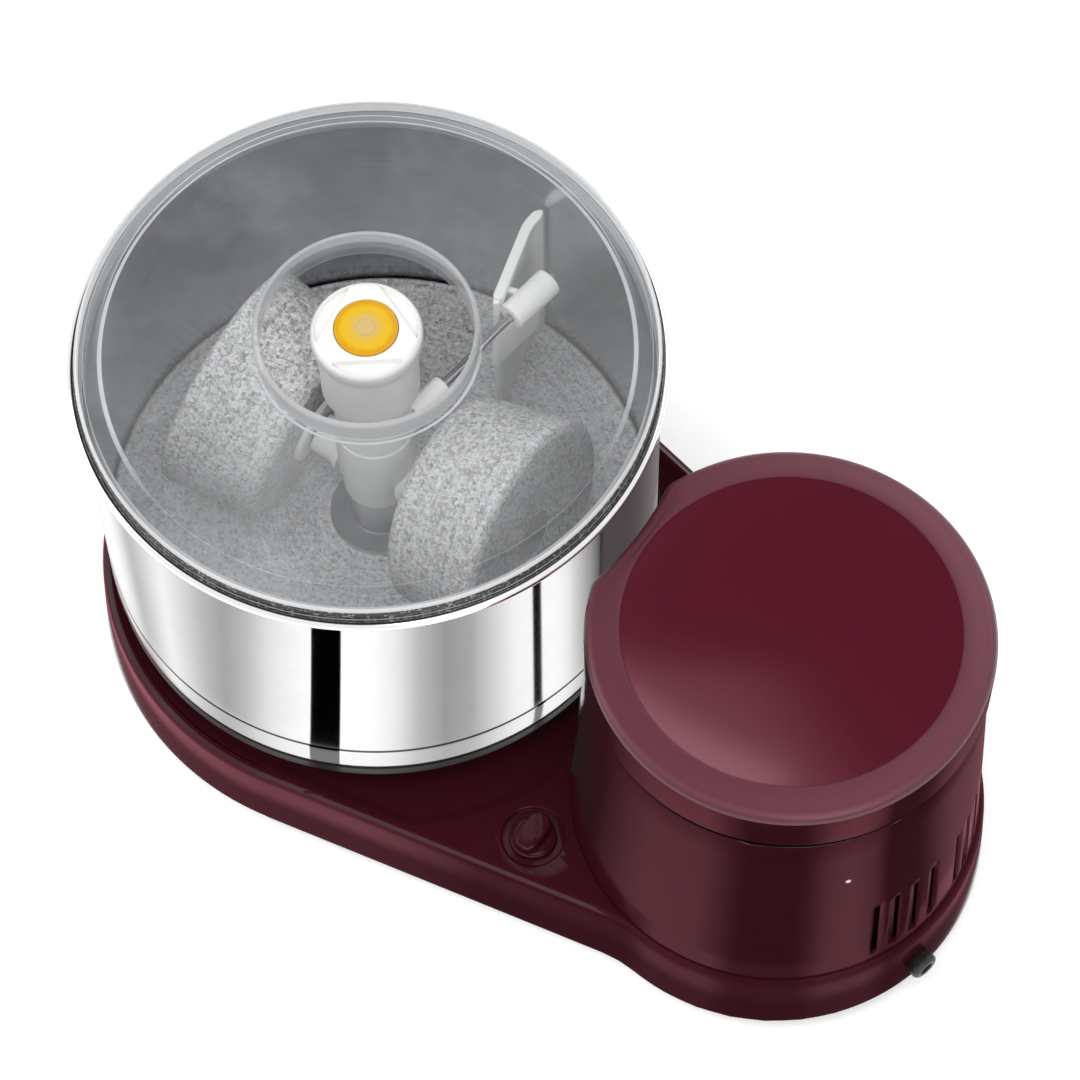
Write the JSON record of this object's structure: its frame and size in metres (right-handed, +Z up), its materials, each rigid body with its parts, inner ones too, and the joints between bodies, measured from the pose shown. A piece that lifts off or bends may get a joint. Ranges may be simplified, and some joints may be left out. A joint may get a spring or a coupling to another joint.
{
  "type": "wet grinder",
  "caption": "Tilt-free table-top wet grinder: a steel drum with granite rollers turns beside a belt-drive motor housing on one moulded base.",
  "frame": {"origin": "on the surface that the grinder stands on, under the middle of its bounding box", "axes": "+X from the drum's axis towards the motor's axis, +Y towards the back, away from the selector knob, +Z up"},
  "size_m": [0.4701, 0.2766, 0.258],
  "materials": {
    "maroon_gloss": "glossy maroon moulding",
    "white_plastic": "satin white moulding",
    "black_plastic": "matt black moulding",
    "grey_plastic": "matt grey moulding",
    "amber_plastic": "glossy amber with faint rings",
    "clear_lid": "clear, slightly milky moulding",
    "clear_lens": "clear lamp lens",
    "polished_steel": "mirror polished stainless steel",
    "brushed_steel": "plain machined steel",
    "cast_aluminium": "cast and machined aluminium",
    "bronze": "sintered bronze",
    "granite": "speckled grey granite, picked surface",
    "foot_rubber": "matt black rubber",
    "belt_rubber": "black belt rubber"
  },
  "bodies": {
    "base": {"base_shell": "maroon_gloss", "bottom_cover": "black_plastic", "cover_screw_1": "brushed_steel", "cover_screw_2": "brushed_steel", "cover_screw_3": "brushed_steel", "cover_screw_4": "brushed_steel", "cover_screw_5": "brushed_steel", "cover_screw_6": "brushed_steel", "foot_drum_front": "foot_rubber", "foot_drum_back": "foot_rubber", "foot_motor_front": "foot_rubber", "foot_motor_back": "foot_rubber", "motor_housing": "maroon_gloss", "housing_cap": "maroon_gloss", "indicator_lens": "clear_lens", "cord_gland": "black_plastic", "switch_body": "black_plastic", "motor_stator": "brushed_steel", "motor_frame_lower": "cast_aluminium", "motor_frame_upper": "cast_aluminium", "run_capacitor": "black_plastic", "centre_spindle": "brushed_steel", "spindle_block": "cast_aluminium", "drive_belt": "belt_rubber"},
    "drum": {"drive_hub": "cast_aluminium", "hub_bush_lower": "bronze", "hub_bush_upper": "bronze", "drum_pulley": "cast_aluminium", "drum_shell": "polished_steel", "drum_base_ring": "black_plastic", "floor_stone": "granite", "centre_tube": "polished_steel"},
    "rotor": {"motor_shaft": "brushed_steel", "motor_rotor": "brushed_steel", "cooling_fan": "black_plastic", "motor_pulley": "cast_aluminium"},
    "holder": {"stone_holder": "white_plastic", "roller_axle_left": "brushed_steel", "roller_axle_right": "brushed_steel", "axle_cap_left": "grey_plastic", "axle_cap_right": "grey_plastic", "scraper_rod": "brushed_steel", "pressure_spring": "brushed_steel"},
    "left_roller": {"roller_stone_left": "granite", "roller_bush_left": "white_plastic"},
    "right_roller": {"roller_stone_right": "granite", "roller_bush_right": "white_plastic"},
    "scraper": {"scraper_blade": "white_plastic"},
    "lock": {"lock_cap": "white_plastic", "lock_insert": "amber_plastic"},
    "cover": {"lid": "clear_lid"},
    "knob": {"selector_knob": "maroon_gloss"}
  },
  "joints": [
    {"name": "drum_spin", "type": "hinge", "parent": "base", "child": "drum", "pos_m": [-0.09666, 0, 0.06], "axis": [0, 0, 1], "continuous": true},
    {"name": "motor_spin", "type": "hinge", "parent": "base", "child": "rotor", "pos_m": [0.12994, 0, 0.1], "axis": [0, 0, 1], "continuous": true},
    {"name": "holder_lift", "type": "slide", "parent": "base", "child": "holder", "axis": [0, 0, 1], "range_m": [0, 0.15]},
    {"name": "left_roller_spin", "type": "hinge", "parent": "holder", "child": "left_roller", "pos_m": [-0.09666, 0, 0.12883], "axis": [-0.9873, -0.0777, 0.1386], "continuous": true},
    {"name": "right_roller_spin", "type": "hinge", "parent": "holder", "child": "right_roller", "pos_m": [-0.09666, 0, 0.12883], "axis": [0.9873, 0.0777, 0.1386], "continuous": true},
    {"name": "scraper_rock", "type": "hinge", "parent": "holder", "child": "scraper", "pos_m": [-0.07462, 0.07693, 0.1795], "axis": [0.1271, 0.9919, 0], "range_deg": [0, 2.5]},
    {"name": "lock_turn", "type": "hinge", "parent": "holder", "child": "lock", "pos_m": [-0.09666, 0, 0.2465], "axis": [0, 0, 1], "range_deg": [0, 90]},
    {"name": "lid_lift", "type": "slide", "parent": "holder", "child": "cover", "axis": [0, 0, 1], "range_m": [0, 0.12]},
    {"name": "knob_turn", "type": "hinge", "parent": "base", "child": "knob", "pos_m": [0.05134, -0.085, 0.0505], "axis": [0, 0, 1], "range_deg": [-45, 45]}
  ],
  "couplings": [
    {"joint": "motor_spin", "follows": "drum_spin", "ratio": 4.3333},
    {"joint": "left_roller_spin", "follows": "drum_spin", "ratio": 1.2679},
    {"joint": "right_roller_spin", "follows": "drum_spin", "ratio": 1.2679}
  ]
}
